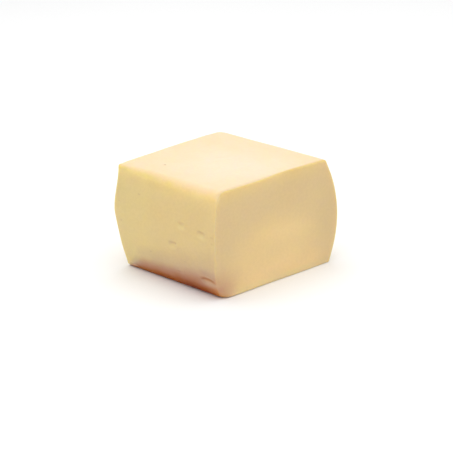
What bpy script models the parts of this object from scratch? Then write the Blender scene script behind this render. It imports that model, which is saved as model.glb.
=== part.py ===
"""Half of a moulded loaf of firm mozzarella, cut across and standing on its base.

The loaf lies along X.  +X is the flat cut, -X the moulded end, -Y and +Y are the
moulded long sides, which swell outwards, and Z = 0 is the flat base.  The block is
one solid: the grid points of a subdivided cube are moved onto the loaf's sections,
and a few small eyes and one fold are cut out of its -Y side.

Design places are given in the loaf's own frame, whose Z axis runs through the middle
of the top.  At the end the block is moved so that the origin is the middle of its box.
"""

import math

import bmesh
import bpy
from mathutils import Vector

MM = 0.001

# ---------------------------------------------------------------- driving dimensions
HEIGHT = 100.0 * MM
CUT_X = 68.6 * MM                 # the plane of the cut
END_X_FRONT = -62.4 * MM          # the moulded end, at the -Y side
END_X_BACK = -71.4 * MM           # the same, at the +Y side: the end is not square
CROWN = 0.2 * MM                  # how much the top is domed
TOP_UNEVENNESS = 0.3              # how wavy the top is, where the sides are 1

CUT_DIP = 2.5 * MM                # the cut is hollow just below its top edge
CUT_DIP_PLACE = 0.68              # where, across the block from -Y (0) to +Y (1)
CUT_DIP_WIDTH = 0.26
CUT_STREAK = 0.35 * MM            # faint diagonal waves that the wire left
END_SWELL = 5.0 * MM              # the moulded end swells in the middle
END_TOP_BOW = 0.8 * MM            # and its top edge bows out a little

# radii of the rounded edges
TOP_FRONT_ROUND = 9.4 * MM        # long top edge at -Y, at the cut
TOP_FRONT_ROUND_END = 1.6 * MM    # the same edge at the moulded end
TOP_BACK_ROUND = 2.5 * MM
FOOT_FRONT_ROUND = 2.6 * MM
FOOT_BACK_ROUND = 1.8 * MM
CUT_ROUND = 0.9 * MM
CUT_CORNER_WEAR = 9.0 * MM        # added at the foot of the upright edge at -Y
END_ROUND = 1.6 * MM
END_BACK_ROUND = 6.2 * MM         # added at the upright edge between -X and +Y

# ---------------------------------------------------------------- the cage
GRID_STEPS = 24                   # faces along each edge of the cube
END_ROWS = 3                      # of them, how many turn round each edge
CUT_ROWS = 2
FOOT_ROWS = 3
TOP_ROWS = 4

BLOCK_NAME = "mozzarella_block"


class Side:
    """Outline of a long side, seen along the loaf, at one of the loaf's two ends."""

    def __init__(self, edge, peak, swell, tuck, upper_power, lower_power, shoulder):
        self.edge = edge                  # distance of the top edge from Y = 0
        self.peak = peak                  # height of the widest place, 0 foot to 1 top
        self.swell = swell                # how far it stands outside the top edge
        self.tuck = tuck                  # how far the foot lies inside the top edge
        self.upper_power = upper_power
        self.lower_power = lower_power
        self.shoulder = shoulder          # 1 where the side flares out softly, 0 where not

    def reach(self, level):
        """Distance of the side from Y = 0 at a level from 0 (foot) to 1 (top)."""
        if level < self.peak:
            fall = ((self.peak - level) / self.peak) ** self.lower_power
            return self.edge + self.swell - (self.swell + self.tuck) * fall
        rise = (level - self.peak) / (1.0 - self.peak)
        round_fall = rise ** self.upper_power
        soft_fall = rise * rise * (3.0 - 2.0 * rise)
        return self.edge + self.swell * (1.0 - mix(round_fall, soft_fall, self.shoulder))


FRONT_AT_END = Side(69.6 * MM, 0.58, 6.3 * MM, 9.1 * MM, 2.0, 1.35, 1.0)
FRONT_AT_CUT = Side(71.0 * MM, 0.39, 4.6 * MM, 7.1 * MM, 2.0, 2.5, 0.0)
BACK_AT_END = Side(69.9 * MM, 0.50, 9.5 * MM, 1.0 * MM, 1.9, 1.90, 0.4)
BACK_AT_CUT = Side(67.9 * MM, 0.475, 15.6 * MM, -3.2 * MM, 1.68, 1.98, 0.0)

# eyes in the -Y side: X, Z, length, height, and tilt in degrees
EYES = (
    (26.2 * MM, 63.8 * MM, 7.6 * MM, 3.0 * MM, 17.0),
    (51.2 * MM, 60.8 * MM, 9.2 * MM, 3.2 * MM, 16.0),
    (14.2 * MM, 42.6 * MM, 8.6 * MM, 2.8 * MM, 11.0),
)
EYE_DEPTH = 1.3 * MM

# the fold low on the -Y side, beside the cut: an arch through these X and Z
FOLD_START = (44.8 * MM, 16.8 * MM)
FOLD_CREST = (55.2 * MM, 19.5 * MM)
FOLD_END = (65.4 * MM, 16.3 * MM)
FOLD_RADIUS = 0.8 * MM
FOLD_STEPS = 12


def mix(low, high, share):
    return low + (high - low) * share


def grid_line(place, low, high, span):
    """Where a grid line lies on a span with two rounded ends, and its inset there.

    place runs from 0 to 1 over the cage's grid.  low and high are each a radius and
    a number of rows: those rows turn through the quarter circle at that end, and the
    rest is spread evenly over the straight stretch.
    """
    low_round, low_rows = low
    high_round, high_rows = high
    row = place * GRID_STEPS
    if row < low_rows:
        turn = row / low_rows * math.pi / 2
        return low_round * (1 - math.cos(turn)), low_round * (1 - math.sin(turn))
    if row > GRID_STEPS - high_rows:
        turn = (GRID_STEPS - row) / high_rows * math.pi / 2
        return span - high_round * (1 - math.cos(turn)), high_round * (1 - math.sin(turn))
    straight = (row - low_rows) / (GRID_STEPS - low_rows - high_rows)
    return mix(low_round, span - high_round, straight), 0.0


# ---------------------------------------------------------------- radii along the edges
def top_front_round(along):
    """The long top edge at -Y is soft, and sharpens towards the moulded end."""
    return mix(TOP_FRONT_ROUND_END, TOP_FRONT_ROUND, 1 - math.exp(-5.0 * along))


def cut_round(across, upward):
    """The cut has crisp edges, but its upright edge at -Y is worn round at the foot."""
    return CUT_ROUND + CUT_CORNER_WEAR * (1 - across) ** 8 * (1 - upward) ** 6


def end_round(across):
    """The moulded end is crisp at -Y and rounder at +Y."""
    return END_ROUND + END_BACK_ROUND * across ** 10


# ---------------------------------------------------------------- the block's surface
def side_point(at_end, at_cut, along, upward, foot_round, top_round):
    """Point of a long side as its distance from Y = 0 and its height."""
    height, inset = grid_line(upward, (foot_round, FOOT_ROWS), (top_round, TOP_ROWS), HEIGHT)
    level = height / HEIGHT
    return mix(at_end.reach(level), at_cut.reach(level), along) - inset, height


def unevenness(x, y, z):
    """Slight waves of the moulded faces, under half a millimetre."""
    wave = math.sin(x * 131.0 + 1.3) * math.sin(z * 97.0 + y * 40.0 + 0.6)
    ripple = math.sin(x * 61.0 - z * 143.0 + 2.1)
    return 0.28 * MM * wave + 0.16 * MM * ripple


def cut_relief(across, level):
    """How far the cut stands outside its plane."""
    dip = CUT_DIP * level ** 2 * math.exp(-((across - CUT_DIP_PLACE) / CUT_DIP_WIDTH) ** 2)
    streak = CUT_STREAK * math.sin(9.0 * across - 8.0 * level + 0.8)
    return streak * 4 * across * (1 - across) - dip


def surface_point(lengthwise, across, upward):
    """Point of the block for a point of the unit cube's surface."""
    # the station along the loaf, and how far the rounded ends pull the section in
    end_x = mix(END_X_FRONT, END_X_BACK, across)
    end_radius = end_round(across)
    cut_radius = cut_round(across, upward)
    run, inset = grid_line(lengthwise, (end_radius, END_ROWS), (cut_radius, CUT_ROWS),
                           CUT_X - end_x)
    along = run / (CUT_X - end_x)
    crispness = END_ROUND / end_radius if along < 0.5 else CUT_ROUND / cut_radius

    # the section there, ruled from the -Y side to the +Y side
    front_y, front_z = side_point(FRONT_AT_END, FRONT_AT_CUT, along, upward,
                                  FOOT_FRONT_ROUND, top_front_round(along))
    back_y, back_z = side_point(BACK_AT_END, BACK_AT_CUT, along, upward,
                                FOOT_BACK_ROUND, TOP_BACK_ROUND)
    y = mix(inset - front_y, back_y - inset, across)
    z = mix(front_z, back_z, across)
    level = z / HEIGHT
    z += inset * crispness * (1 - 2 * level)

    # the two ends are not flat, which fades out along the loaf
    bow = (1 - (2 * across - 1) ** 2) * math.sin(math.pi * min(level, 1.0)) ** 1.5
    top_bow = 4 * across * (1 - across) * level ** 4
    x = end_x + run - (END_SWELL * bow + END_TOP_BOW * top_bow) * (1 - along) ** 2
    x += cut_relief(across, level) * along ** 4

    # neither is the top, and every face but the base is a little uneven
    middle = 4 * across * (1 - across) * 4 * along * (1 - 0.75 * along)
    z += CROWN * middle * level ** 3
    above_base = min(1.0, level * 8.0)
    y += unevenness(x, y, z) * above_base * (2 * across - 1)
    z += TOP_UNEVENNESS * unevenness(y, x, z) * level ** 3
    return Vector((x, y, z))


def block_mesh():
    """The whole block as one closed mesh, in the loaf's own frame."""
    bm = bmesh.new()
    bmesh.ops.create_cube(bm, size=2.0)
    bmesh.ops.subdivide_edges(bm, edges=bm.edges[:], cuts=GRID_STEPS - 1, use_grid_fill=True)
    for vert in bm.verts:
        lengthwise, across, upward = ((value + 1) / 2 for value in vert.co)
        vert.co = surface_point(lengthwise, across, upward)

    # the flat base becomes one face
    base = [face for face in bm.faces if all(abs(vert.co.z) < 1e-7 for vert in face.verts)]
    bmesh.ops.dissolve_faces(bm, faces=base, use_verts=True)

    mesh = bpy.data.meshes.new(BLOCK_NAME)
    bm.to_mesh(mesh)
    bm.free()
    return mesh


def footprint_centre(mesh):
    """Middle of the mesh's box in X and Y, at Z = 0."""
    xs = [vert.co.x for vert in mesh.vertices]
    ys = [vert.co.y for vert in mesh.vertices]
    return Vector(((min(xs) + max(xs)) / 2, (min(ys) + max(ys)) / 2, 0.0))


# ---------------------------------------------------------------- eyes and fold
def front_point(x, z):
    """Point of the -Y side at this X and Z, in the loaf's own frame."""
    along = (x - END_X_FRONT) / (CUT_X - END_X_FRONT)
    level = z / HEIGHT
    y = -mix(FRONT_AT_END.reach(level), FRONT_AT_CUT.reach(level), along)
    return Vector((x, y, z))


def eye_cutter(name, x, z, length, height, tilt):
    """A flat egg-shaped cutter, half sunk in the -Y side."""
    bm = bmesh.new()
    bmesh.ops.create_icosphere(bm, subdivisions=2, radius=1.0)
    mesh = bpy.data.meshes.new(name)
    bm.to_mesh(mesh)
    bm.free()
    cutter = bpy.data.objects.new(name, mesh)
    cutter.location = front_point(x, z)
    cutter.rotation_euler = (0.0, math.radians(tilt), 0.0)
    cutter.scale = (length / 2, EYE_DEPTH, height / 2)
    return cutter


def arch(start, crest, end, share):
    """Value at a share from 0 to 1 of the parabola through start, crest and end."""
    return ((1 - share) * (1 - 2 * share) * start
            + 4 * share * (1 - share) * crest
            + share * (2 * share - 1) * end)


def fold_cutter(name):
    """A bent tube with thin ends along the fold, half sunk in the -Y side."""
    curve = bpy.data.curves.new(name, "CURVE")
    curve.dimensions = "3D"
    curve.bevel_depth = FOLD_RADIUS
    curve.bevel_resolution = 2
    curve.use_fill_caps = True
    spline = curve.splines.new("POLY")
    spline.points.add(FOLD_STEPS)
    for step, point in enumerate(spline.points):
        share = step / FOLD_STEPS
        x, z = (arch(*places, share) for places in zip(FOLD_START, FOLD_CREST, FOLD_END))
        point.co = (*front_point(x, z), 1.0)
        point.radius = mix(0.35, 1.0, math.sin(math.pi * share))

    route = bpy.data.objects.new(name + "_route", curve)
    bpy.context.scene.collection.objects.link(route)
    evaluated = route.evaluated_get(bpy.context.evaluated_depsgraph_get())
    mesh = bpy.data.meshes.new_from_object(evaluated)
    bpy.data.objects.remove(route)

    # weld the tube's loose caps to its wall
    bm = bmesh.new()
    bm.from_mesh(mesh)
    bmesh.ops.remove_doubles(bm, verts=bm.verts[:], dist=1e-6)
    bm.to_mesh(mesh)
    bm.free()
    return bpy.data.objects.new(name, mesh)


def cut_away(block, cutter, centre, collection):
    """Take a cutter out of the block, and keep it as a hidden guide."""
    cutter.location -= centre
    cutter.hide_render = True
    cutter.display_type = "WIRE"
    collection.objects.link(cutter)
    modifier = block.modifiers.new("cut_" + cutter.name, "BOOLEAN")
    modifier.operation = "DIFFERENCE"
    modifier.solver = "EXACT"
    modifier.object = cutter


# ---------------------------------------------------------------- material
def cheese_material():
    material = bpy.data.materials.new("mozzarella")
    material.use_nodes = True
    shader = material.node_tree.nodes["Principled BSDF"]
    shader.inputs["Base Color"].default_value = (0.86, 0.70, 0.40, 1.0)
    shader.inputs["Roughness"].default_value = 0.45
    shader.inputs["Metallic"].default_value = 0.0
    return material


# ---------------------------------------------------------------- the model
def main():
    for existing in list(bpy.data.objects):
        bpy.data.objects.remove(existing)

    parts = bpy.data.collections.new("mozzarella_half_loaf")
    cutters = bpy.data.collections.new("cutters")
    bpy.context.scene.collection.children.link(parts)
    bpy.context.scene.collection.children.link(cutters)

    mesh = block_mesh()
    centre = footprint_centre(mesh)
    for vert in mesh.vertices:
        vert.co -= centre
    mesh.materials.append(cheese_material())
    mesh.shade_smooth()
    mesh.set_sharp_from_angle(angle=math.radians(50))
    block = bpy.data.objects.new(BLOCK_NAME, mesh)
    parts.objects.link(block)

    for number, eye in enumerate(EYES, start=1):
        cut_away(block, eye_cutter("eye_%d" % number, *eye), centre, cutters)
    cut_away(block, fold_cutter("fold"), centre, cutters)


main()
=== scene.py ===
"""Looks of half a moulded mozzarella loaf, cut across and standing on its base.

The block is modelled again from its driving dimensions, with a grid fine enough for
its eyes, pits, fold and soft waves, and stands for the plain CAD solid.  +X is the
flat cut, -X the moulded end, -Y and +Y the moulded long sides.

Design places are given in the loaf's own frame, whose Z axis runs through the middle
of the top.  The finished mesh is moved onto the middle of the CAD node's box, and its
material takes its places through the same shift.
"""

import math

import bmesh
import bpy
import numpy as np
from mathutils import Matrix, Vector


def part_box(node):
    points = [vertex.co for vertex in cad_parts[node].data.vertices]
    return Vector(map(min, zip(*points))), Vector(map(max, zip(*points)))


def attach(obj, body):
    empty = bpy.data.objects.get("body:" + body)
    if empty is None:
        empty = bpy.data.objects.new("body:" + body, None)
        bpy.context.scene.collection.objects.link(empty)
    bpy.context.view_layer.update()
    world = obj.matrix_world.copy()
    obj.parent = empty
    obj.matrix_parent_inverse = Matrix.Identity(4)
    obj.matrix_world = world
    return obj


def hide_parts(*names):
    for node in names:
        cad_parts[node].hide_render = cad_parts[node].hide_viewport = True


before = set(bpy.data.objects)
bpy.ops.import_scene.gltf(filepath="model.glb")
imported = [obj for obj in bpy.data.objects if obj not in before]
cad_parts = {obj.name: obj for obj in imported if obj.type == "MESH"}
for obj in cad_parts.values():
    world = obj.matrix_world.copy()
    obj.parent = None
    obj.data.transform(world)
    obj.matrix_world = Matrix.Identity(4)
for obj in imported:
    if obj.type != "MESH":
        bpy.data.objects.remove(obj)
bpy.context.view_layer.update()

MM = 0.001
NODE = "mozzarella_block"

# ---------------------------------------------------------------- driving dimensions
HEIGHT = 100.0 * MM
CUT_X = 68.6 * MM                 # the plane of the cut
END_X_FRONT = -62.4 * MM          # the moulded end, at the -Y side
END_X_BACK = -71.4 * MM           # the same, at the +Y side: the end is not square
CROWN = 0.2 * MM                  # how much the top is domed
TOP_UNEVENNESS = 0.3              # how wavy the top is, where the sides are 1

CUT_DIP = 2.5 * MM                # the cut is hollow just below its top edge
CUT_DIP_PLACE = 0.68              # where, across the block from -Y (0) to +Y (1)
CUT_DIP_WIDTH = 0.26
CUT_STREAK = 0.35 * MM            # faint diagonal waves that the wire left
CUT_STREAK_WAVES = (9.0, 8.0)     # how fast they run across and down, in radians
END_SWELL = 5.0 * MM              # the moulded end swells in the middle
END_TOP_BOW = 0.8 * MM            # and its top edge bows out a little

# radii of the rounded edges
TOP_FRONT_ROUND = 9.4 * MM        # long top edge at -Y, at the cut
TOP_FRONT_ROUND_END = 1.6 * MM    # the same edge at the moulded end
TOP_FRONT_SHARPENING = 5.0        # how near to that end it sharpens
TOP_BACK_ROUND = 2.5 * MM
FOOT_FRONT_ROUND = 2.6 * MM
FOOT_BACK_ROUND = 1.8 * MM
CUT_ROUND = 0.9 * MM
CUT_FOOT_ROUND = 0.4 * MM
CUT_FOOT_SHARE = 0.1              # how far up the foot's radius fades out
CUT_CORNER_WEAR = 9.0 * MM        # added at the foot of the upright edge at -Y
CUT_CORNER_FADE = (8, 6)          # how fast that fades out across and upwards
END_ROUND = 1.6 * MM
END_BACK_ROUND = 6.2 * MM         # added at the upright edge between -X and +Y
END_BACK_FADE = 10                # how fast that fades out across

# slight waves of the moulded faces, and how many radians they turn through in a metre
WAVE_HEIGHT = 0.28 * MM
WAVE_TURNS = (131.0, 97.0, 40.0)
RIPPLE_HEIGHT = 0.16 * MM
RIPPLE_TURNS = (61.0, 143.0)
BASE_FADE = 0.125                 # share of the height over which they fade towards the base

# ---------------------------------------------------------------- the grid
GRID_STEPS = 112                  # faces along each edge of the cube
END_ROWS = 5                      # of them, how many turn round each edge
CUT_ROWS = 4
FOOT_ROWS = 5
TOP_ROWS = 12
MARK_CUTS = 2                     # extra cuts in the faces round a mark
MARK_MARGIN = 2 * MM              # how far round it they reach


def mix(low, high, share):
    return low + (high - low) * share


def smooth(low, high, value):
    """0 below low, 1 above high, and a soft step between."""
    share = np.clip((value - low) / (high - low), 0.0, 1.0)
    return share * share * (3.0 - 2.0 * share)


class Side:
    """Outline of a long side, seen along the loaf, at one of the loaf's two ends."""

    def __init__(self, edge, peak, swell, tuck, upper_power, lower_power, shoulder):
        self.edge = edge                  # distance of the top edge from Y = 0
        self.peak = peak                  # height of the widest place, 0 foot to 1 top
        self.swell = swell                # how far it stands outside the top edge
        self.tuck = tuck                  # how far the foot lies inside the top edge
        self.upper_power = upper_power
        self.lower_power = lower_power
        self.shoulder = shoulder          # 1 where the side flares out softly, 0 where not

    def reach(self, level):
        """Distance of the side from Y = 0 at levels from 0 (foot) to 1 (top)."""
        below = np.clip((self.peak - level) / self.peak, 0.0, 1.0)
        above = np.clip((level - self.peak) / (1.0 - self.peak), 0.0, 1.0)
        soft_fall = above * above * (3.0 - 2.0 * above)
        upper = self.swell * mix(above ** self.upper_power, soft_fall, self.shoulder)
        lower = (self.swell + self.tuck) * below ** self.lower_power
        return self.edge + self.swell - upper - lower


FRONT_AT_END = Side(69.6 * MM, 0.58, 6.3 * MM, 9.1 * MM, 2.0, 1.35, 1.0)
FRONT_AT_CUT = Side(71.0 * MM, 0.39, 4.6 * MM, 7.1 * MM, 2.0, 2.5, 0.0)
BACK_AT_END = Side(69.9 * MM, 0.50, 9.5 * MM, 1.0 * MM, 1.9, 1.90, 0.4)
BACK_AT_CUT = Side(67.9 * MM, 0.475, 15.6 * MM, -3.2 * MM, 1.68, 1.98, 0.0)

# dimples in the -Y side: X, Z, length, height, depth, tilt in degrees, and how dark their
# painted shade is
EYES = (
    (25.6 * MM, 62.2 * MM, 10.0 * MM, 8.0 * MM, 0.5 * MM, 4.0, 0.35),
    (50.6 * MM, 58.9 * MM, 11.0 * MM, 8.0 * MM, 0.65 * MM, 9.0, 0.50),
    (13.4 * MM, 41.0 * MM, 10.5 * MM, 8.4 * MM, 0.8 * MM, 0.0, 0.50),
)
# small pits there: X, Z, length, height, depth, and how dark their painted shade is
PITS = (
    (64.1 * MM, 59.4 * MM, 3.6 * MM, 1.7 * MM, 0.25 * MM, 0.30),
    (63.9 * MM, 53.7 * MM, 2.6 * MM, 1.6 * MM, 0.20 * MM, 0.25),
    (17.0 * MM, 43.2 * MM, 3.0 * MM, 2.2 * MM, 0.30 * MM, 0.60),
    (-30.4 * MM, 78.6 * MM, 3.6 * MM, 1.4 * MM, 0.30 * MM, 0.45),
    (-53.9 * MM, 49.4 * MM, 2.2 * MM, 1.7 * MM, 0.40 * MM, 0.45),
    (-55.6 * MM, 67.8 * MM, 1.6 * MM, 1.4 * MM, 0.20 * MM, 0.45),
    (-19.3 * MM, 26.3 * MM, 3.8 * MM, 1.8 * MM, 0.30 * MM, 0.45),
    (27.3 * MM, 28.0 * MM, 3.0 * MM, 1.4 * MM, 0.25 * MM, 0.35),
    (16.6 * MM, 15.9 * MM, 6.2 * MM, 1.5 * MM, 0.50 * MM, 0.50),
)
# the hidden sides are finished like the one that shows, the end with Y in place of X
BACK_EYES = (
    (-24.0 * MM, 55.0 * MM, 9.0 * MM, 7.0 * MM, 0.55 * MM, -6.0, 0.40),
    (33.0 * MM, 39.0 * MM, 10.5 * MM, 8.0 * MM, 0.70 * MM, 5.0, 0.45),
)
BACK_PITS = (
    (-47.0 * MM, 72.0 * MM, 3.2 * MM, 1.6 * MM, 0.30 * MM, 0.45),
    (6.0 * MM, 68.0 * MM, 3.6 * MM, 1.5 * MM, 0.30 * MM, 0.40),
    (44.0 * MM, 61.0 * MM, 2.6 * MM, 1.8 * MM, 0.30 * MM, 0.45),
    (-6.0 * MM, 25.0 * MM, 4.0 * MM, 1.6 * MM, 0.35 * MM, 0.45),
)
END_EYES = (
    (21.0 * MM, 58.0 * MM, 9.5 * MM, 7.5 * MM, 0.60 * MM, 4.0, 0.40),
)
END_PITS = (
    (-34.0 * MM, 66.0 * MM, 3.4 * MM, 1.6 * MM, 0.30 * MM, 0.45),
    (-12.0 * MM, 31.0 * MM, 3.8 * MM, 1.6 * MM, 0.35 * MM, 0.45),
    (47.0 * MM, 37.0 * MM, 2.6 * MM, 1.8 * MM, 0.30 * MM, 0.45),
)
# a pit in the top: X, Y, width, depth
TOP_PIT = (-28.0 * MM, -42.85 * MM, 2.1 * MM, 0.6 * MM)
# the fold low on the -Y side, beside the cut: an arch through these X and Z
FOLD_START = (45.5 * MM, 16.6 * MM)
FOLD_CREST = (54.4 * MM, 18.4 * MM)
FOLD_END = (66.0 * MM, 16.0 * MM)
FOLD_GROOVE = 0.6 * MM            # depth of its crease
FOLD_GROOVE_WIDTH = 1.1 * MM
FOLD_LIP = 0.7 * MM               # how far the lip below it stands out
FOLD_LIP_FULL = 2.5 * MM          # how far below the crease it is full
FOLD_LIP_FADE = (4.0 * MM, 12.0 * MM)
# the small curl at the far end of the -Y side's foot: X, Z, length, height, rise
CURL = (-51.5 * MM, 3.7 * MM, 14.0 * MM, 2.6 * MM, 0.5 * MM)


def grid_line(place, low, high, span):
    """Where grid lines lie on a span with two rounded ends, and their inset there.

    place runs from 0 to 1 over the grid.  low and high are each a radius and a
    number of rows: those rows turn through the quarter circle at that end, and the
    rest is spread evenly over the straight stretch.
    """
    low_round, low_rows = low
    high_round, high_rows = high
    row = place * GRID_STEPS
    low_turn = np.clip(row / low_rows, 0.0, 1.0) * math.pi / 2
    high_turn = np.clip((GRID_STEPS - row) / high_rows, 0.0, 1.0) * math.pi / 2
    straight = np.clip((row - low_rows) / (GRID_STEPS - low_rows - high_rows), 0.0, 1.0)
    position = (low_round * (1 - np.cos(low_turn))
                + straight * (span - low_round - high_round)
                + high_round * np.cos(high_turn))
    inset = low_round * (1 - np.sin(low_turn)) + high_round * (1 - np.sin(high_turn))
    return position, inset


# ---------------------------------------------------------------- radii along the edges
def top_front_round(along):
    """The long top edge at -Y is soft, and sharpens towards the moulded end."""
    softness = 1 - np.exp(-TOP_FRONT_SHARPENING * along)
    return mix(TOP_FRONT_ROUND_END, TOP_FRONT_ROUND, softness)


def cut_round(across, upward):
    """The cut has crisp edges, but its upright edge at -Y is worn round at the foot."""
    across_fade, upward_fade = CUT_CORNER_FADE
    crisp = mix(CUT_FOOT_ROUND, CUT_ROUND, smooth(0.0, CUT_FOOT_SHARE, upward))
    return crisp + CUT_CORNER_WEAR * (1 - across) ** across_fade * (1 - upward) ** upward_fade


def end_round(across):
    """The moulded end is crisp at -Y and rounder at +Y."""
    return END_ROUND + END_BACK_ROUND * across ** END_BACK_FADE


# ---------------------------------------------------------------- the block's surface
def side_point(at_end, at_cut, along, upward, foot_round, top_round):
    """Points of a long side as their distance from Y = 0 and their height."""
    height, inset = grid_line(upward, (foot_round, FOOT_ROWS), (top_round, TOP_ROWS), HEIGHT)
    level = height / HEIGHT
    return mix(at_end.reach(level), at_cut.reach(level), along) - inset, height


def unevenness(x, y, z):
    """Slight waves of the moulded faces, under half a millimetre."""
    wave_x, wave_z, wave_y = WAVE_TURNS
    ripple_x, ripple_z = RIPPLE_TURNS
    wave = np.sin(x * wave_x + 1.3) * np.sin(z * wave_z + y * wave_y + 0.6)
    ripple = np.sin(x * ripple_x - z * ripple_z + 2.1)
    return WAVE_HEIGHT * wave + RIPPLE_HEIGHT * ripple


def cut_relief(across, level):
    """How far the cut stands outside its plane."""
    dip = CUT_DIP * level ** 2 * np.exp(-((across - CUT_DIP_PLACE) / CUT_DIP_WIDTH) ** 2)
    waves_across, waves_down = CUT_STREAK_WAVES
    streak = CUT_STREAK * np.sin(waves_across * across - waves_down * level + 0.8)
    return streak * 4 * across * (1 - across) - dip


def surface_points(lengthwise, across, upward):
    """Points of the block for points of the unit cube's surface."""
    # the station along the loaf, and how far the rounded ends pull the section in
    end_x = mix(END_X_FRONT, END_X_BACK, across)
    end_radius = end_round(across)
    cut_radius = cut_round(across, upward)
    run, inset = grid_line(lengthwise, (end_radius, END_ROWS), (cut_radius, CUT_ROWS),
                           CUT_X - end_x)
    along = run / (CUT_X - end_x)
    crispness = np.where(along < 0.5, END_ROUND / end_radius,
                         np.minimum(CUT_ROUND / cut_radius, 1.0))

    # the section there, ruled from the -Y side to the +Y side
    front_y, front_z = side_point(FRONT_AT_END, FRONT_AT_CUT, along, upward,
                                  FOOT_FRONT_ROUND, top_front_round(along))
    back_y, back_z = side_point(BACK_AT_END, BACK_AT_CUT, along, upward,
                                FOOT_BACK_ROUND, TOP_BACK_ROUND)
    y = mix(inset - front_y, back_y - inset, across)
    z = mix(front_z, back_z, across)
    level = z / HEIGHT
    z = z + inset * crispness * (1 - 2 * level)

    # the two ends are not flat, which fades out along the loaf
    bow = (1 - (2 * across - 1) ** 2) * np.sin(math.pi * np.clip(level, 0.0, 1.0)) ** 1.5
    top_bow = 4 * across * (1 - across) * level ** 4
    x = end_x + run - (END_SWELL * bow + END_TOP_BOW * top_bow) * (1 - along) ** 2
    x = x + cut_relief(across, level) * along ** 4

    # neither is the top, and every face but the base is a little uneven
    middle = 4 * across * (1 - across) * 4 * along * (1 - 0.75 * along)
    z = z + CROWN * middle * level ** 3
    above_base = np.clip(level / BASE_FADE, 0.0, 1.0)
    y = y + unevenness(x, y, z) * above_base * (2 * across - 1)
    z = z + TOP_UNEVENNESS * unevenness(y, x, z) * level ** 3
    return np.stack([x, y, z], axis=-1)


# ---------------------------------------------------------------- marks in the surface
def eye_depth(x, z, mark):
    """A dimple, steep below its upper lip and shallow towards its lower edge."""
    mark_x, mark_z, length, height, depth, tilt, _ = mark
    turn = math.radians(tilt)
    lengthwise = ((x - mark_x) * math.cos(turn) - (z - mark_z) * math.sin(turn)) / (length / 2)
    upwards = ((x - mark_x) * math.sin(turn) + (z - mark_z) * math.cos(turn)) / (height / 2)
    deepest = 0.38
    upper_wall = smooth(0.0, 1.0, (1 - upwards) / (1 - deepest))
    lower_slope = smooth(0.0, 1.0, (upwards + 1) / (1 + deepest))
    return depth * upper_wall * lower_slope * np.clip(1 - lengthwise ** 2, 0, 1) ** 1.2


def pit_depth(x, z, mark):
    """A small round-bottomed pit."""
    mark_x, mark_z, length, height, depth, _ = mark
    away = ((x - mark_x) / (length / 2)) ** 2 + ((z - mark_z) / (height / 2)) ** 2
    return depth * np.clip(1 - away, 0, 1) ** 0.8


def arch_height(x):
    """Height of the fold's line at each X: a parabola through its three points."""
    (x0, z0), (x1, z1), (x2, z2) = FOLD_START, FOLD_CREST, FOLD_END
    return (z0 * (x - x1) * (x - x2) / ((x0 - x1) * (x0 - x2))
            + z1 * (x - x0) * (x - x2) / ((x1 - x0) * (x1 - x2))
            + z2 * (x - x0) * (x - x1) / ((x2 - x0) * (x2 - x1)))


def fold_relief(x, z):
    """A groove along the arch, and the plump lip that it closes over."""
    place = (x - FOLD_START[0]) / (FOLD_END[0] - FOLD_START[0])
    there = smooth(-0.05, 0.25, place) * (1 - smooth(0.75, 1.05, place))
    below = arch_height(x) - z
    groove = FOLD_GROOVE * np.exp(-(below / FOLD_GROOVE_WIDTH) ** 2)
    lip = FOLD_LIP * smooth(0.0, FOLD_LIP_FULL, below) * (1 - smooth(*FOLD_LIP_FADE, below))
    return (lip - groove) * there


def curl_rise(x, z):
    """How far the curl stands out of the -Y side."""
    curl_x, curl_z, length, height, rise = CURL
    away = ((x - curl_x) / (length / 2)) ** 2 + ((z - curl_z) / (height / 2)) ** 2
    return rise * np.clip(1 - away, 0, 1) ** 1.5


def hollows(along, z, eyes, pits):
    """How deep a side is pressed in by its eyes and pits."""
    depth = np.zeros_like(along)
    for mark in eyes:
        depth = depth + eye_depth(along, z, mark)
    for mark in pits:
        depth = depth + pit_depth(along, z, mark)
    return depth


def facing(part):
    """1 where a normal's part along an axis is that face's own, 0 where it turns away."""
    return smooth(0.3, 0.8, part)


def top_relief(x, y):
    """The pit in the top."""
    pit_x, pit_y, width, depth = TOP_PIT
    away = ((x - pit_x) ** 2 + (y - pit_y) ** 2) / (width / 2) ** 2
    return -depth * np.clip(1 - away, 0, 1) ** 0.8


def near_fold(x, z):
    """True where the -Y side needs a finer grid for the fold and its lip."""
    return (x > FOLD_START[0] - MARK_MARGIN) & (z > 3 * MM) & (z < FOLD_CREST[1] + 3 * MM)


def near_mark(along, z, marks):
    """True where a side needs a finer grid for its marks."""
    near = np.zeros(len(along), dtype=bool)
    for mark_along, mark_z, length, height, *_ in marks:
        near |= ((np.abs(along - mark_along) < length / 2 + MARK_MARGIN)
                 & (np.abs(z - mark_z) < height / 2 + MARK_MARGIN))
    return near


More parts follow.
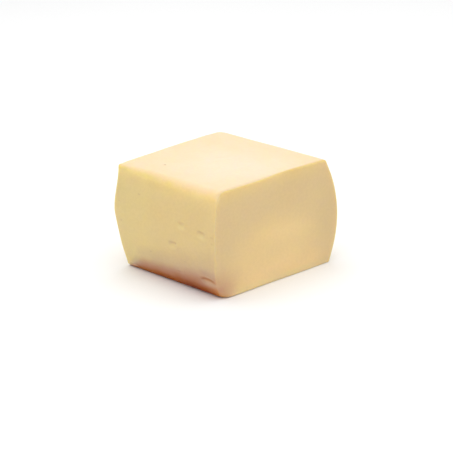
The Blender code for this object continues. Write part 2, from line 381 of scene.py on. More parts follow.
# ---------------------------------------------------------------- the block's mesh
def unit_cube_grid():
    """A finely cut unit cube, with its faces near the marks cut again."""
    bm = bmesh.new()
    bmesh.ops.create_cube(bm, size=2.0)
    bmesh.ops.subdivide_edges(bm, edges=bm.edges[:], cuts=GRID_STEPS - 1, use_grid_fill=True)
    for vert in bm.verts:
        vert.co = (vert.co + Vector((1.0, 1.0, 1.0))) / 2

    bm.normal_update()
    faces = list(bm.faces)
    normals = np.array([face.normal for face in faces])
    centres = np.array([face.calc_center_median() for face in faces])
    x, y, z = surface_points(centres[:, 0], centres[:, 1], centres[:, 2]).T
    on_front = near_fold(x, z) | near_mark(x, z, (*EYES, *PITS, CURL))
    on_back = near_mark(x, z, (*BACK_EYES, *BACK_PITS))
    on_end = near_mark(y, z, (*END_EYES, *END_PITS))
    marked = ((normals[:, 1] < -0.5) & on_front | (normals[:, 1] > 0.5) & on_back
              | (normals[:, 0] < -0.5) & on_end)
    edges = dict.fromkeys(edge for face, near in zip(faces, marked) if near
                          for edge in face.edges)
    bmesh.ops.subdivide_edges(bm, edges=list(edges), cuts=MARK_CUTS, use_grid_fill=True)
    return bm


def block_mesh(name):
    """The block's mesh, and how far it was moved from the loaf's own frame."""
    bm = unit_cube_grid()
    base = [face for face in bm.faces if all(vert.co.z < 1e-6 for vert in face.verts)]
    cube = np.array([vert.co for vert in bm.verts])
    points = surface_points(cube[:, 0], cube[:, 1], cube[:, 2])
    for vert, point in zip(bm.verts, points):
        vert.co = point
    bmesh.ops.dissolve_faces(bm, faces=base, use_verts=False)
    bm.normal_update()
    outward = np.array([vert.normal for vert in bm.verts])
    mesh = bpy.data.meshes.new(name)
    bm.to_mesh(mesh)
    bm.free()

    # press the marks in along the surface's own direction
    points = np.zeros(len(mesh.vertices) * 3)
    mesh.vertices.foreach_get("co", points)
    points = points.reshape(-1, 3)
    x, y, z = points.T
    front = fold_relief(x, z) + curl_rise(x, z) - hollows(x, z, EYES, PITS)
    relief = (front * facing(-outward[:, 1])
              - hollows(x, z, BACK_EYES, BACK_PITS) * facing(outward[:, 1])
              - hollows(y, z, END_EYES, END_PITS) * facing(-outward[:, 0])
              + top_relief(x, y) * facing(outward[:, 2]))
    points += outward * relief[:, None]

    # onto the middle of the CAD node's box
    low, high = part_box(NODE)
    middle = (points.min(0) + points.max(0)) / 2
    shift = np.array([(low.x + high.x) / 2 - middle[0], (low.y + high.y) / 2 - middle[1], 0.0])
    points = np.clip(points + shift, low, high)
    mesh.vertices.foreach_set("co", points.ravel())
    mesh.update()
    mesh.shade_smooth()
    return mesh, Vector(shift)


# ---------------------------------------------------------------- material
def colour(red, green, blue):
    """A linear colour from the red, green and blue that a screen shows, 0 to 255."""
    linear = []
    for value in (red, green, blue):
        value /= 255.0
        linear.append(value / 12.92 if value <= 0.04045 else ((value + 0.055) / 1.055) ** 2.4)
    return (*linear, 1.0)


class Nodes:
    """Short names for making and joining shader nodes."""

    def __init__(self, material):
        material.use_nodes = True
        self.tree = material.node_tree
        self.shader = self.tree.nodes["Principled BSDF"]

    def feed(self, socket, value):
        """Join a socket to another, or set its value."""
        if isinstance(value, bpy.types.NodeSocket):
            self.tree.links.new(value, socket)
        else:
            socket.default_value = value

    def math(self, operation, first, second=0.0, third=0.0):
        node = self.tree.nodes.new("ShaderNodeMath")
        node.operation = operation
        for socket, value in zip(node.inputs, (first, second, third)):
            self.feed(socket, value)
        return node.outputs[0]

    def times(self, *factors):
        product = factors[0]
        for factor in factors[1:]:
            product = self.math("MULTIPLY", product, factor)
        return product

    def split(self, vector):
        node = self.tree.nodes.new("ShaderNodeSeparateXYZ")
        self.feed(node.inputs[0], vector)
        return node.outputs

    def joined(self, x, y, z):
        node = self.tree.nodes.new("ShaderNodeCombineXYZ")
        for socket, value in zip(node.inputs, (x, y, z)):
            self.feed(socket, value)
        return node.outputs[0]

    def step(self, value, low, high, to_low=0.0, to_high=1.0):
        """A soft step from to_low to to_high as value goes from low to high."""
        node = self.tree.nodes.new("ShaderNodeMapRange")
        node.interpolation_type = "SMOOTHSTEP"
        for key, number in (("Value", value), ("From Min", low), ("From Max", high),
                            ("To Min", to_low), ("To Max", to_high)):
            self.feed(node.inputs[key], number)
        return node.outputs["Result"]

    def noise(self, vector, scale, detail=2.0, roughness=0.5, distortion=0.0):
        node = self.tree.nodes.new("ShaderNodeTexNoise")
        for key, number in (("Vector", vector), ("Scale", scale), ("Detail", detail),
                            ("Roughness", roughness), ("Distortion", distortion)):
            self.feed(node.inputs[key], number)
        return node.outputs["Fac"]

    def spot(self, vector, centre, radii, turn=(0.0, 0.0, 0.0), edge=0.0):
        """A soft ellipsoid: 1 inside the share called edge, and 0 outside its radii."""
        place = self.tree.nodes.new("ShaderNodeMapping")
        place.vector_type = "TEXTURE"
        for key, value in (("Vector", vector), ("Location", centre),
                           ("Rotation", [math.radians(angle) for angle in turn]),
                           ("Scale", radii)):
            self.feed(place.inputs[key], value)
        # 1 in the middle and 0 at the radii; a vector's length would do the same, but each
        # would hold a place in the shader's limited room until all of them are worked out
        inwards = self.tree.nodes.new("ShaderNodeTexGradient")
        inwards.gradient_type = "SPHERICAL"
        self.feed(inwards.inputs["Vector"], place.outputs[0])
        return self.step(inwards.outputs["Fac"], 0.0, 1.0 - edge)

    def scaled(self, vector, factors):
        node = self.tree.nodes.new("ShaderNodeVectorMath")
        node.operation = "MULTIPLY"
        self.feed(node.inputs[0], vector)
        self.feed(node.inputs[1], factors)
        return node.outputs[0]

    def blend(self, share, first, second, kind="MIX"):
        node = self.tree.nodes.new("ShaderNodeMix")
        node.data_type = "RGBA"
        node.blend_type = kind
        for socket, value in zip((node.inputs[0], node.inputs[6], node.inputs[7]),
                                 (share, first, second)):
            self.feed(socket, value)
        return node.outputs[2]

    def ramp(self, value, stops):
        """A colour that runs through the stops, each a place and a colour."""
        node = self.tree.nodes.new("ShaderNodeValToRGB")
        self.feed(node.inputs["Fac"], value)
        node.color_ramp.interpolation = "CARDINAL"
        elements = node.color_ramp.elements
        while len(elements) < len(stops):
            elements.new(0.5)
        for element, (place, tone) in zip(elements, stops):
            element.position = place
            element.color = tone
        return node.outputs["Color"]


SIDE_TONE = colour(228, 203, 147)
SIDE_TONE_FAR = colour(226, 205, 147)     # the -Y side far from the cut is greener
CUT_TONE = colour(225, 199, 150)
# painted warm reflected light low on the cut, and painted highlights in its pale streaks
CUT_TONE_WARM_LIT = colour(235, 207, 152)
CUT_TONE_HIGHLIGHT = colour(241, 213, 156)
# the top is paler than the sides by a painted sheen of the light above
TOP_TONE = colour(234, 215, 187)
TOP_TONE_RIM = colour(234, 208, 171)
FLOOR_TONES = ((0.90, 0.90, 0.90, 1.0), (0.92, 0.92, 0.92, 1.0))

# what changes the plain tones in places, multiplied into them
RIM_PAINTED_LIGHT = (1.10, 1.10, 1.0, 1.0)         # painted light just below the top edge of the sides
# painted light just below the cut's top edge
CUT_RIM_PAINTED_LIGHT = (1.035, 1.05, 0.94, 1.0)
# painted warm light low in the middle of the cut
CUT_FOOT_PAINTED_LIGHT = (1.10, 1.075, 1.11, 1.0)
CUT_BASE_PAINTED_LIGHT = (1.12, 1.04, 1.0, 1.0)    # painted light along the cut's lowest few millimetres
# painted shade along the upright edge between the -Y side and the cut, above its foot
UPRIGHT_EDGE_SHADE = (0.91, 0.92, 1.0, 1.0)
# painted shade on the top where it turns down to the cut
TOP_CUT_EDGE_SHADE = (0.86, 0.845, 0.80, 1.0)
# painted shade on the round between the top and the cut
TOP_CUT_ROUND_SHADE = (0.90, 0.86, 0.80, 1.0)
# painted shade on the top along its -Y edge, towards the moulded end
TOP_FAR_EDGE_SHADE = (0.94, 0.94, 0.82, 1.0)
# painted shade in the eyes' upper walls and in the pits, and a painted highlight on the eyes'
# lower lips
EYE_SHADE = (0.82, 0.73, 0.86, 1.0)
EYE_LIP_HIGHLIGHT = (1.07, 1.11, 1.10, 1.0)
# painted shade in the fold's crease, and a painted highlight on the band above it
CREASE_PAINTED_SHADE = (0.95, 0.78, 0.57, 1.0)
CREASE_EDGE_HIGHLIGHT = (1.05, 1.10, 1.14, 1.0)
PIT_SHADE = (0.50, 0.44, 0.36, 1.0)       # in the top's pit
SIDE_MOTTLE = (0.992, 0.987, 0.992, 1.0)
CUT_MOTTLE = (0.995, 0.991, 0.995, 1.0)
TOP_MARBLE = (1.0, 0.985, 0.95, 1.0)
SPECKLE = (0.972, 0.970, 0.975, 1.0)

# how fine the noises of tone and surface are, as their scale
SIDE_MOTTLE_SCALE = 30.0
CUT_MOTTLE_SCALE = 25.0
TOP_MARBLE_SCALE = 40.0
FOOT_SHADE_EDGE_SCALE = 45.0
SPECKLE_SCALE = 420.0
SPECKLE_STRETCH = (0.8, 0.8, 1.0)         # its specks are a little wider than high
SHEEN_SCALE = 60.0
GRAIN_SCALE = 900.0
ROUGHNESS = (0.42, 0.52)                  # between these, by the sheen's noise

# how far spots reach into the block from their face
SPOT_DEPTH = 30 * MM
MARK_SPOT_DEPTH = 25 * MM
CUT_SPOT_DEPTH = 300 * MM                 # right through, as the cut's tones stay on the cut

# soft spots of another tone on the -Y side: X, Z, radii along X and Z, and the tone
SIDE_SPOTS = (
    (-32 * MM, 40 * MM, 30 * MM, 32 * MM, (1.03, 1.015, 1.0, 1.0)),
    (-14 * MM, 91 * MM, 18 * MM, 9 * MM, (0.94, 0.93, 0.95, 1.0)),
    (7 * MM, 91 * MM, 20 * MM, 8 * MM, (0.965, 0.975, 0.975, 1.0)),
    (-38 * MM, 90 * MM, 18 * MM, 9 * MM, (0.97, 0.945, 1.0, 1.0)),
    (45 * MM, 93 * MM, 16 * MM, 8 * MM, (1.03, 1.04, 1.08, 1.0)),
    (-62 * MM, 82 * MM, 16 * MM, 26 * MM, (0.93, 0.94, 0.97, 1.0)),
    (68 * MM, 46 * MM, 34 * MM, 34 * MM, (0.96, 0.97, 1.0, 1.0)),
    (69 * MM, 66 * MM, 7 * MM, 36 * MM, (0.975, 0.975, 0.99, 1.0)),
    (66 * MM, 44 * MM, 6 * MM, 14 * MM, (1.035, 1.03, 1.025, 1.0)),
    (17 * MM, 38.5 * MM, 10 * MM, 5 * MM, (0.97, 0.95, 1.01, 1.0)),
)
# and round its top edge: the same, put on after the top's tones
RIM_SPOTS = (
    (-24 * MM, 96.7 * MM, 22 * MM, 3.5 * MM, (0.975, 0.995, 0.87, 1.0)),
    (6 * MM, 96 * MM, 10 * MM, 3.5 * MM, (0.98, 1.0, 0.85, 1.0)),
    (-53 * MM, 98 * MM, 6 * MM, 3.5 * MM, (0.935, 0.955, 0.935, 1.0)),
)
# a painted highlight at the top of the corner that it makes with the cut: middle, radii and tone
CORNER_HIGHLIGHT = (
    (68 * MM, -71 * MM, 95.5 * MM), (4.5 * MM, 5 * MM, 7 * MM), (1.0, 1.05, 1.22, 1.0),
)
# painted warm reflected light in an arch low on the cut: Y, Z, and radii along Y and Z
CUT_LIT_ARCH = (1 * MM, 10 * MM, 76 * MM, 66 * MM)
# its pale streaks, painted highlights: the same, their tilt in degrees, and how strong they are
CUT_HIGHLIGHT_STREAKS = (
    (14 * MM, 45 * MM, 52 * MM, 12 * MM, -4.0, 0.5),
    (16 * MM, 20 * MM, 50 * MM, 14 * MM, 14.0, 0.4),
)
# soft spots on the cut: Y, Z, radii along Y and Z, and the tone; the darker ones towards its
# upright edges are painted shade, and the brown one at the foot of its -Y corner is painted warm
# reflected light
CUT_SPOTS = (
    (-80 * MM, 46 * MM, 38 * MM, 64 * MM, (0.955, 0.96, 0.96, 1.0)),
    (80 * MM, 50 * MM, 34 * MM, 80 * MM, (0.94, 0.945, 0.94, 1.0)),
    (-50 * MM, 20 * MM, 14 * MM, 15 * MM, (0.965, 0.95, 0.985, 1.0)),
    (-67 * MM, 0 * MM, 13 * MM, 8 * MM, (1.0, 0.86, 0.55, 1.0)),
    (-51 * MM, 1 * MM, 16 * MM, 10 * MM, (1.12, 1.15, 1.14, 1.0)),
    (46 * MM, 17 * MM, 32 * MM, 30 * MM, (0.958, 0.962, 0.982, 1.0)),
    (-63 * MM, 6 * MM, 9 * MM, 8 * MM, (1.02, 1.08, 1.09, 1.0)),
    (-71 * MM, 13.5 * MM, 5 * MM, 5 * MM, (1.05, 1.10, 1.08, 1.0)),
    (0 * MM, 9 * MM, 20 * MM, 6 * MM, (0.965, 0.99, 1.0, 1.0)),
)

# upper limit of the painted shade and warm reflected light at the foot: its height at X = 0,
# its rise towards the cut, where it sets in near the moulded end, and how far it wanders up and
# down
FOOT_SHADE_LIMIT = 37.0 * MM
FOOT_SHADE_RISE = 0.22
FOOT_SHADE_START = (-70 * MM, -32 * MM)
FOOT_SHADE_WANDER = 0.8 * MM
# what the painted shade at the foot leaves of the tones, by height as a share of that limit
FOOT_PAINTED_SHADE = (
    (0.00, (0.43, 0.10, 0.01, 1.0)),
    (0.08, (0.46, 0.14, 0.02, 1.0)),
    (0.13, (0.54, 0.21, 0.10, 1.0)),
    (0.21, (0.61, 0.325, 0.34, 1.0)),
    (0.34, (0.69, 0.50, 0.64, 1.0)),
    (0.42, (0.75, 0.62, 0.79, 1.0)),
    (0.52, (0.83, 0.77, 0.93, 1.0)),
    (0.61, (0.88, 0.85, 0.97, 1.0)),
    (0.75, (0.92, 0.90, 0.98, 1.0)),
    (1.00, (1.00, 1.00, 1.00, 1.0)),
)
# soft spots where that painted shade is deeper or paler: X, Z, radii along X and Z, and the
# change
FOOT_SHADE_SPOTS = (
    (10 * MM, 13 * MM, 20 * MM, 9 * MM, (0.95, 0.91, 0.88, 1.0)),
    (28 * MM, 5 * MM, 17 * MM, 10 * MM, (0.84, 0.73, 0.64, 1.0)),
    (-33 * MM, 15 * MM, 22 * MM, 12 * MM, (1.10, 1.11, 1.05, 1.0)),
    (-38 * MM, 0 * MM, 24 * MM, 12 * MM, (1.08, 1.24, 1.45, 1.0)),
    (43 * MM, 8 * MM, 9 * MM, 6 * MM, (1.0, 1.05, 1.30, 1.0)),
    (54 * MM, 24 * MM, 14 * MM, 6 * MM, (0.89, 0.85, 0.91, 1.0)),
    (14 * MM, 7 * MM, 14 * MM, 8 * MM, (0.91, 0.82, 0.62, 1.0)),
    (25 * MM, 3.5 * MM, 14 * MM, 4 * MM, (0.80, 0.77, 0.60, 1.0)),
    (45 * MM, 8 * MM, 14 * MM, 6 * MM, (1.01, 1.12, 1.28, 1.0)),
)
# the same, put on after the tones that the painted shade has beside the cut
FOOT_SHADE_CORNER_SPOTS = (
    (59 * MM, 6.5 * MM, 6 * MM, 8 * MM, (1.0, 0.86, 0.74, 1.0)),
    (66 * MM, 13.3 * MM, 6 * MM, 4 * MM, (1.08, 1.17, 1.22, 1.0)),
    (49.5 * MM, 16 * MM, 5 * MM, 3 * MM, (0.88, 0.88, 0.84, 1.0)),
    (61 * MM, 16.5 * MM, 5 * MM, 2.5 * MM, (1.05, 1.10, 1.13, 1.0)),
)
BASE_PAINTED_SHADOW = (0.93, 0.52, 0.05, 1.0)       # painted contact shadow: the dark line along the foot, towards the cut
# what the painted shade leaves where it is paler: beside the cut, in the fold's lip and in the
# curl
CORNER_PAINTED_SHADE = (0.76, 0.46, 0.40, 1.0)
LIP_PAINTED_SHADE = (0.73, 0.62, 0.86, 1.0)
CURL_PAINTED_SHADE = (0.84, 0.62, 0.86, 1.0)
CUT_CORNER_PAINTED_SHADE = (0.72, 0.48, 0.62, 1.0)       # painted shade and warm reflected light on the cut, at its lower corner


def side_spots(y, spots):
    """Spots of a long side as their middle, radii and tone."""
    return [((x, y, z), (length, SPOT_DEPTH, height), tone)
            for x, z, length, height, tone in spots]


def cut_spots(spots):
    """The same for spots of the cut."""
    return [((CUT_X, y, z), (CUT_SPOT_DEPTH, width, height), tone)
            for y, z, width, height, tone in spots]


def tinted(nodes, tone, where, spots):
    """A tone changed by soft spots, each a middle, radii and what it is multiplied by."""
    for middle, radii, change in spots:
        tone = nodes.blend(nodes.spot(where, middle, radii), tone, change, "MULTIPLY")
    return tone


def cheese_material(shift):
    """The cheese, for a mesh that was moved by shift from the loaf's own frame."""
    material = bpy.data.materials.new("mozzarella")
    nodes = Nodes(material)
    coordinates = nodes.tree.nodes.new("ShaderNodeTexCoord")
    loaf = nodes.tree.nodes.new("ShaderNodeVectorMath")
    loaf.operation = "SUBTRACT"
    nodes.feed(loaf.inputs[0], coordinates.outputs["Object"])
    nodes.feed(loaf.inputs[1], shift)
    where = loaf.outputs[0]
    facing_x, facing_y, facing_z = nodes.split(coordinates.outputs["Normal"])
    # which face a point belongs to, with soft borders along the edges
    cut = nodes.step(facing_x, 0.10, 0.42)
    front = nodes.times(nodes.step(facing_y, -0.50, -0.15, 1.0, 0.0),
                        nodes.math("SUBTRACT", 1.0, cut))
    up = nodes.step(facing_z, 0.30, 0.97)

    tone = side_tones(nodes, where, front)
    tone = nodes.blend(cut, tone, cut_tones(nodes, where))
    # half-way round an edge the normal's two parts have a product of 0.5, so twice that is
    # 1 there; on the -Y side the part along Y is negative, which the minus makes up for
    _, _, z = nodes.split(where)
    # painted shade along the upright edge, above its foot
    upright_edge_shade = nodes.times(nodes.math("MAXIMUM", facing_x, 0.0), facing_y,
                               nodes.step(z, 4 * MM, 16 * MM, 0.0, -2.0))
    tone = nodes.blend(upright_edge_shade, tone, UPRIGHT_EDGE_SHADE, "MULTIPLY")
    tone = foot_painted_shade(nodes, tone, where, front, cut)
    tone = mark_tones(nodes, tone, where, front)
    # the top's tones, paler than the sides by a painted sheen of the light above
    tone = nodes.blend(up, tone, top_tones(nodes, where))
    # painted shade on the round between the top and the cut
    top_cut_shade = nodes.times(facing_x, facing_z, 2.0)
    tone = nodes.blend(top_cut_shade, tone, TOP_CUT_ROUND_SHADE, "MULTIPLY")
    # tints on the rounded top edge, and a painted highlight at the top of the upright edge
    # beside the cut
    tone = tinted(nodes, tone, where, [*side_spots(-70 * MM, RIM_SPOTS), CORNER_HIGHLIGHT])
    speckle = nodes.noise(nodes.scaled(where, SPECKLE_STRETCH), SPECKLE_SCALE)
    tone = nodes.blend(nodes.step(speckle, 0.3, 0.7), tone, SPECKLE, "MULTIPLY")
    nodes.feed(nodes.shader.inputs["Base Color"], tone)

    # waxy and a little moist, with a fine grain
    grain = nodes.noise(where, GRAIN_SCALE, roughness=0.6)
    sheen = nodes.noise(where, SHEEN_SCALE)
    nodes.feed(nodes.shader.inputs["Roughness"], nodes.step(sheen, 0.3, 0.7, *ROUGHNESS))
    bump = nodes.tree.nodes.new("ShaderNodeBump")
    bump.inputs["Strength"].default_value = 0.10
    bump.inputs["Distance"].default_value = 0.3 * MM
    nodes.feed(bump.inputs["Height"], grain)
    nodes.feed(nodes.shader.inputs["Normal"], bump.outputs["Normal"])

    nodes.shader.inputs["Metallic"].default_value = 0.0
    nodes.shader.inputs["IOR"].default_value = 1.45
    nodes.shader.inputs["Specular IOR Level"].default_value = 0.12
    nodes.shader.inputs["Subsurface Weight"].default_value = 1.0
    nodes.shader.inputs["Subsurface Radius"].default_value = (1.0, 0.85, 0.35)
    nodes.shader.inputs["Subsurface Scale"].default_value = 8.0 * MM
    return material


def side_tones(nodes, where, front):
    """The moulded sides: cream, mottled, and with painted light just below the top edge."""
    x, _, z = nodes.split(where)
    far = nodes.times(front, nodes.step(x, -50 * MM, 15 * MM, 1.0, 0.0))
    tone = nodes.blend(far, SIDE_TONE, SIDE_TONE_FAR)
    tone = tinted(nodes, tone, where, side_spots(-70 * MM, SIDE_SPOTS))
    mottle = nodes.step(nodes.noise(where, SIDE_MOTTLE_SCALE, 3.0), 0.35, 0.65)
    tone = nodes.blend(mottle, tone, SIDE_MOTTLE, "MULTIPLY")
    return nodes.blend(nodes.step(z, 78 * MM, 98 * MM), tone, RIM_PAINTED_LIGHT, "MULTIPLY")


def cut_tones(nodes, where):
    """The cut: duller than the sides, with painted warm reflected light in an arch low in it and
    two painted pale streaks.
    """
    _, y, z = nodes.split(where)
    arch_y, arch_z, width, height = CUT_LIT_ARCH
    arch = nodes.spot(where, (CUT_X, arch_y, arch_z), (CUT_SPOT_DEPTH, width, height),
                      edge=0.55)
    tone = nodes.blend(arch, CUT_TONE, CUT_TONE_WARM_LIT)
    for streak_y, streak_z, width, height, tilt, strength in CUT_HIGHLIGHT_STREAKS:
        streak = nodes.spot(where, (CUT_X, streak_y, streak_z),
                            (CUT_SPOT_DEPTH, width, height), (tilt, 0.0, 0.0))
        tone = nodes.blend(nodes.times(streak, strength), tone, CUT_TONE_HIGHLIGHT)
    tone = tinted(nodes, tone, where, cut_spots(CUT_SPOTS))
    mottle = nodes.step(nodes.noise(where, CUT_MOTTLE_SCALE, 3.0), 0.35, 0.65)
    tone = nodes.blend(mottle, tone, CUT_MOTTLE, "MULTIPLY")
    # painted warm light low in the middle of the cut, painted light along its base, and painted
    # light below its top edge
    foot = nodes.times(arch, nodes.step(z, 0.0, 30 * MM, 1.0, 0.0),
                       nodes.step(y, -50 * MM, -25 * MM))
    tone = nodes.blend(foot, tone, CUT_FOOT_PAINTED_LIGHT, "MULTIPLY")
    base = nodes.step(z, 0.0, 5 * MM, 1.0, 0.0)
    tone = nodes.blend(base, tone, CUT_BASE_PAINTED_LIGHT, "MULTIPLY")
    rim = nodes.times(nodes.step(z, 82 * MM, 98 * MM), nodes.step(y, 45 * MM, 72 * MM, 1.0, 0.0))
    return nodes.blend(rim, tone, CUT_RIM_PAINTED_LIGHT, "MULTIPLY")


def foot_painted_shade(nodes, tone, where, front, cut):
    """Painted shade and warm reflected light on the foot of the -Y side, and on the cut's lower
    corner beside it.
    """
    x, _, z = nodes.split(where)
    risen = nodes.math("MULTIPLY_ADD", x, FOOT_SHADE_RISE, FOOT_SHADE_LIMIT)
    limit = nodes.times(risen, nodes.step(x, *FOOT_SHADE_START))
    wander = nodes.step(nodes.noise(where, FOOT_SHADE_EDGE_SCALE), 0.3, 0.7,
                        -FOOT_SHADE_WANDER, FOOT_SHADE_WANDER)
    level = nodes.math("DIVIDE", nodes.math("ADD", z, wander), limit)
    foot_shade = nodes.ramp(level, FOOT_PAINTED_SHADE)
    foot_shade = tinted(nodes, foot_shade, where, side_spots(-66 * MM, FOOT_SHADE_SPOTS))

    beside_cut = nodes.times(nodes.step(x, 44 * MM, 68 * MM),
                             nodes.step(z, 10 * MM, 22 * MM, 1.0, 0.0))
    foot_shade = nodes.blend(beside_cut, foot_shade, CORNER_PAINTED_SHADE)
    lip = nodes.spot(where, (58 * MM, -70 * MM, 14 * MM), (20 * MM, SPOT_DEPTH, 6.5 * MM),
                     (0.0, -4.0, 0.0))
    foot_shade = nodes.blend(lip, foot_shade, LIP_PAINTED_SHADE)
    curl_x, curl_z, length, height, _ = CURL
    curl = nodes.spot(where, (curl_x, -62 * MM, curl_z), (length / 2, 15 * MM, height / 2))
    foot_shade = nodes.blend(curl, foot_shade, CURL_PAINTED_SHADE)
    foot_shade = tinted(nodes, foot_shade, where, side_spots(-66 * MM, FOOT_SHADE_CORNER_SPOTS))
    painted_base_shadow = nodes.times(nodes.step(z, 1 * MM, 6 * MM, 1.0, 0.0),
                            nodes.step(x, 8 * MM, 30 * MM))
    foot_shade = nodes.blend(painted_base_shadow, foot_shade, BASE_PAINTED_SHADOW, "MULTIPLY")
    tone = nodes.blend(front, tone, foot_shade, "MULTIPLY")

    corner = nodes.spot(where, (CUT_X, -74 * MM, 0.0), (60 * MM, 34 * MM, 36 * MM))
    return nodes.blend(nodes.times(cut, corner), tone, CUT_CORNER_PAINTED_SHADE, "MULTIPLY")


def hollow_tones(nodes, tone, where, eyes, pits, distance):
    """Painted shade on the upper walls and painted highlights on the lower lips of a side's
    eyes, and painted shade in its pits.

    distance is how far the side is from the middle: along Y, or for the end along X,
    where the marks' places and the given ones are swapped.
    """
    for mark_x, mark_z, length, height, _, tilt, darkness in eyes:
        turn = (0.0, tilt, 0.0)
        shaded_wall = nodes.spot(where, (mark_x - 0.5 * MM, distance, mark_z + 0.28 * height),
                          (0.60 * length, MARK_SPOT_DEPTH, 0.32 * height), turn)
        tone = nodes.blend(nodes.times(shaded_wall, darkness), tone, EYE_SHADE, "MULTIPLY")
        lip = nodes.spot(where, (mark_x, distance, mark_z - 0.25 * height),
                         (0.75 * length, MARK_SPOT_DEPTH, 0.50 * height), turn)
        tone = nodes.blend(lip, tone, EYE_LIP_HIGHLIGHT, "MULTIPLY")
    for mark_x, mark_z, length, height, _, darkness in pits:
        pit = nodes.spot(where, (mark_x, distance, mark_z),
                         (0.7 * length, MARK_SPOT_DEPTH, 0.8 * height))
        tone = nodes.blend(nodes.times(pit, darkness), tone, EYE_SHADE, "MULTIPLY")
    return tone


def mark_tones(nodes, tone, where, front):
    """Painted shade and highlights of the eyes and pits of every side, and painted shade in the
    fold's crease with a painted highlight above it.
    """
    x, y, z = nodes.split(where)
    swapped = nodes.joined(y, x, z)
    tone = hollow_tones(nodes, tone, where, EYES, PITS, -75 * MM)
    tone = hollow_tones(nodes, tone, where, BACK_EYES, BACK_PITS, 78 * MM)
    tone = hollow_tones(nodes, tone, swapped, END_EYES, END_PITS, -72 * MM)

    # the crease follows the fold's arch, a parabola through its crest
    off_crest = nodes.math("SUBTRACT", x, FOLD_CREST[0])
    drop = nodes.times(off_crest, off_crest, (FOLD_CREST[1] - FOLD_END[1])
                       / (FOLD_END[0] - FOLD_CREST[0]) ** 2)
    above = nodes.math("SUBTRACT", nodes.math("ADD", z, drop), FOLD_CREST[1])
    along = nodes.times(front, nodes.step(x, FOLD_START[0] - 2 * MM, FOLD_START[0] + 5 * MM),
                        nodes.step(x, FOLD_END[0] - 6 * MM, FOLD_END[0] + 1 * MM, 1.0, 0.0))
    edge = nodes.times(nodes.step(above, 0.8 * MM, 1.8 * MM),
                       nodes.step(above, 1.8 * MM, 3.6 * MM, 1.0, 0.0), along)
    tone = nodes.blend(edge, tone, CREASE_EDGE_HIGHLIGHT, "MULTIPLY")
    crease = nodes.step(nodes.math("ABSOLUTE", above), 0.3 * MM, 2.4 * MM, 1.0, 0.0)
    return nodes.blend(nodes.times(crease, along), tone, CREASE_PAINTED_SHADE, "MULTIPLY")


def top_tones(nodes, where):
    """The top: paler than the sides by a painted sheen of the light above, palest in its middle,
    yellower round its rim, and a little marbled.
    """
    x, y, _ = nodes.split(where)
    middle = nodes.spot(where, (20 * MM, -6 * MM, HEIGHT), (95 * MM, 80 * MM, 300 * MM))
    tone = nodes.blend(middle, TOP_TONE_RIM, TOP_TONE)
    # painted shade where the top turns down to the cut
    cut_edge_shade = nodes.step(x, CUT_X - 6 * MM, CUT_X - 1 * MM)
    tone = nodes.blend(cut_edge_shade, tone, TOP_CUT_EDGE_SHADE, "MULTIPLY")
    # painted shade on the top along its -Y edge, towards the moulded end
    far_edge_shade = nodes.times(nodes.step(y, -72 * MM, -58 * MM, 1.0, 0.0),
                           nodes.step(x, -20 * MM, 35 * MM, 1.0, 0.0))
    tone = nodes.blend(far_edge_shade, tone, TOP_FAR_EDGE_SHADE, "MULTIPLY")
    marble = nodes.noise(where, TOP_MARBLE_SCALE, 3.0, distortion=1.0)
    tone = nodes.blend(nodes.step(marble, 0.35, 0.65), tone, TOP_MARBLE, "MULTIPLY")
    pit_x, pit_y, width, _ = TOP_PIT
    pit = nodes.spot(where, (pit_x, pit_y, HEIGHT), (0.9 * width, 0.9 * width, 10 * MM))
    return nodes.blend(pit, tone, PIT_SHADE, "MULTIPLY")


def floor_material():
    material = bpy.data.materials.new("pale_floor")
    nodes = Nodes(material)
    where = nodes.tree.nodes.new("ShaderNodeTexCoord").outputs["Object"]
    tone = nodes.blend(nodes.noise(where, 3.0), *FLOOR_TONES)
    nodes.feed(nodes.shader.inputs["Base Color"], tone)
    nodes.shader.inputs["Roughness"].default_value = 0.9
    nodes.shader.inputs["Specular IOR Level"].default_value = 0.1
    return material


# ---------------------------------------------------------------- studio
FLOOR_REACH = 5.0                 # from its middle to its edges
WORLD_STRENGTH = 0.66
OVERHEAD_SIZE = 2.4
OVERHEAD_HEIGHT = 1.6
OVERHEAD_POWER = 26.0


def make_floor():
    bm = bmesh.new()
    bmesh.ops.create_grid(bm, x_segments=8, y_segments=8, size=FLOOR_REACH)
    mesh = bpy.data.meshes.new("floor")
    bm.to_mesh(mesh)
    bm.free()
    floor = bpy.data.objects.new("floor", mesh)
    bpy.context.scene.collection.objects.link(floor)
    mesh.materials.append(floor_material())


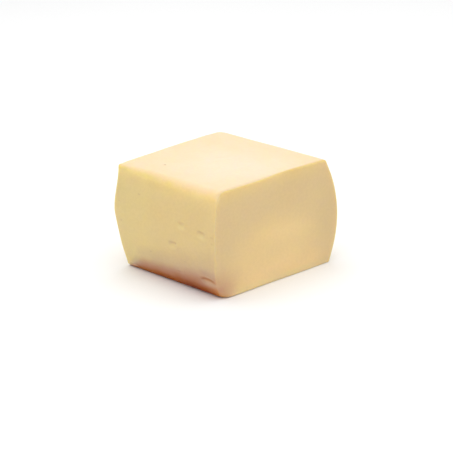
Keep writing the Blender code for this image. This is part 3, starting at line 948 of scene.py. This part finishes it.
def make_lights():
    world = bpy.data.worlds.new("studio")
    world.use_nodes = True
    background = world.node_tree.nodes["Background"]
    background.inputs["Color"].default_value = (1.0, 1.0, 1.0, 1.0)
    background.inputs["Strength"].default_value = WORLD_STRENGTH
    bpy.context.scene.world = world

    light = bpy.data.lights.new("overhead", "AREA")
    light.shape = "SQUARE"
    light.size = OVERHEAD_SIZE
    light.energy = OVERHEAD_POWER
    lamp = bpy.data.objects.new("overhead", light)
    lamp.location = (0.0, 0.0, OVERHEAD_HEIGHT)
    bpy.context.scene.collection.objects.link(lamp)


# the photograph's viewpoint: azimuth from -Y towards +X, elevation and roll in degrees
VIEW_AZIMUTH = 45.60
VIEW_ELEVATION = 18.26
VIEW_ROLL = -1.02
VIEW_DISTANCE = 2.020
VIEW_LENS = 175.0                 # in millimetres, as the sensor's width
SENSOR_WIDTH = 36.0
PHOTO_SIZE = 453                  # pixels along each side
AIM_PIXEL = (221.2, 212.8)        # where the middle of the block falls in the photograph


def make_camera(shift):
    data = bpy.data.cameras.new("camera")
    data.lens = VIEW_LENS
    data.sensor_width = SENSOR_WIDTH
    camera = bpy.data.objects.new("camera", data)
    bpy.context.scene.collection.objects.link(camera)
    bpy.context.scene.camera = camera

    azimuth, elevation = math.radians(VIEW_AZIMUTH), math.radians(VIEW_ELEVATION)
    back = Vector((math.sin(azimuth) * math.cos(elevation),
                   -math.cos(azimuth) * math.cos(elevation), math.sin(elevation)))
    middle = Vector((0.0, 0.0, HEIGHT / 2)) + shift
    camera.location = middle + back * VIEW_DISTANCE

    # roll about the line of sight, then shift the frame so the block falls in its place
    level = (-back).to_track_quat("-Z", "Y").to_matrix()
    rolled = level @ Matrix.Rotation(math.radians(VIEW_ROLL), 3, "Z")
    camera.rotation_euler = rolled.to_euler()
    data.shift_x = (PHOTO_SIZE / 2 - AIM_PIXEL[0]) / PHOTO_SIZE
    data.shift_y = (AIM_PIXEL[1] - PHOTO_SIZE / 2) / PHOTO_SIZE


# ---------------------------------------------------------------- the scene
mesh, loaf_shift = block_mesh("mozzarella")
block = bpy.data.objects.new("mozzarella", mesh)
bpy.context.scene.collection.objects.link(block)
mesh.materials.append(cheese_material(loaf_shift))
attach(block, "root")
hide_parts(NODE)

make_floor()
make_lights()
make_camera(loaf_shift)
bpy.context.scene.view_settings.view_transform = "Standard"
